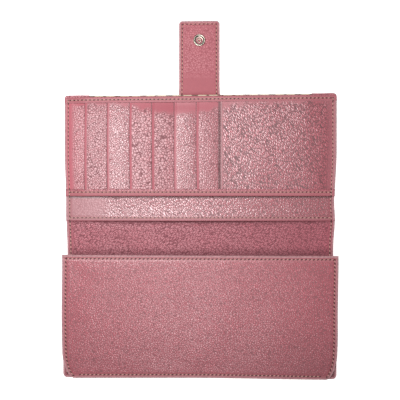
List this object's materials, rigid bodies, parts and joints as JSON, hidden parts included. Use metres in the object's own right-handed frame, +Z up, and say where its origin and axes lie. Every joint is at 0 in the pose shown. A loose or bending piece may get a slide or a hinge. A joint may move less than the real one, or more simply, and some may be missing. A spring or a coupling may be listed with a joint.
{
  "type": "long wallet",
  "caption": "Fold-over long wallet, open and flat, with shingled card pockets, slip pockets, a gusseted compartment on the lower cover and a closing tab with a press fastener.",
  "frame": {"origin": "middle of the soft spine, on the outside face of its canvas, with the wallet open and flat", "axes": "+Z up out of the inside of the open wallet, +Y towards the closing tab across both fold lines, +X along the fold lines to the right when the inside is seen with the tab at the top"},
  "size_m": [0.1906, 0.2513, 0.0154],
  "materials": {
    "rose_leather": "pebbled dusty-rose leather, satin",
    "rose_trim": "smooth folded dusty-rose leather edge, satin",
    "rose_lining": "fine-grained darker rose leather, matt",
    "coated_canvas": "coated canvas, cream with a small brown pattern",
    "fibre_board": "plain stiffener board, hidden",
    "nickel": "polished nickel plate",
    "spring_steel": "plain spring wire"
  },
  "bodies": {
    "lower_cover": {"lower_outer_canvas": "coated_canvas", "lower_band_left": "rose_leather", "lower_band_right": "rose_leather", "lower_board": "fibre_board", "lower_lining": "rose_lining", "snap_stud": "nickel", "snap_stud_back": "nickel", "gusset_left": "rose_lining", "gusset_right": "rose_lining"},
    "pouch_front": {"pouch_front_leather": "rose_leather", "pouch_front_lining": "rose_lining"},
    "spine": {"spine_outer_canvas": "coated_canvas", "spine_band_left": "rose_leather", "spine_band_right": "rose_leather", "spine_lining": "rose_lining"},
    "upper_cover": {"upper_outer_canvas": "coated_canvas", "upper_band_left": "rose_leather", "upper_band_right": "rose_leather", "upper_board": "fibre_board", "upper_lining": "rose_lining", "slip_pocket_panel": "rose_leather", "card_panel_backing": "rose_leather", "card_slot_1": "rose_leather", "card_slot_2": "rose_leather", "card_slot_3": "rose_leather", "card_slot_4": "rose_leather", "card_slot_5": "rose_leather", "card_slot_6": "rose_leather", "side_panel": "rose_leather", "card_panel_hem": "rose_trim", "top_binding": "rose_trim", "tab_anchor": "rose_leather"},
    "tab_wrap": {"tab_wrap_outer": "rose_leather", "tab_wrap_inner": "rose_leather"},
    "tab_end": {"tab_end_outer": "rose_leather", "tab_stiffener": "fibre_board", "tab_end_inner": "rose_leather", "snap_cap": "nickel", "snap_socket": "nickel", "snap_spring_ring": "spring_steel"}
  },
  "joints": [
    {"name": "spine_fold", "type": "hinge", "parent": "lower_cover", "child": "spine", "pos_m": [0, -0.0104, 0.00115], "axis": [1, 0, 0], "range_deg": [0, 92.5]},
    {"name": "cover_fold", "type": "hinge", "parent": "spine", "child": "upper_cover", "pos_m": [0, 0.01, 0.00115], "axis": [1, 0, 0], "range_deg": [0, 92.5]},
    {"name": "tab_root", "type": "hinge", "parent": "upper_cover", "child": "tab_wrap", "pos_m": [0, 0.1006, -0.0006], "axis": [1, 0, 0], "range_deg": [0, 88]},
    {"name": "tab_bend", "type": "hinge", "parent": "tab_wrap", "child": "tab_end", "pos_m": [0, 0.1197, -0.0006], "axis": [1, 0, 0], "range_deg": [0, 87]},
    {"name": "pouch_swing", "type": "hinge", "parent": "lower_cover", "child": "pouch_front", "pos_m": [0, -0.097, 0.0032], "axis": [1, 0, 0], "range_deg": [-5, 1], "stiffness_Nm_per_rad": 0.6, "deforming": ["gusset_left", "gusset_right"]}
  ],
  "couplings": [
    {"joint": "cover_fold", "follows": "spine_fold", "ratio": 1}
  ]
}
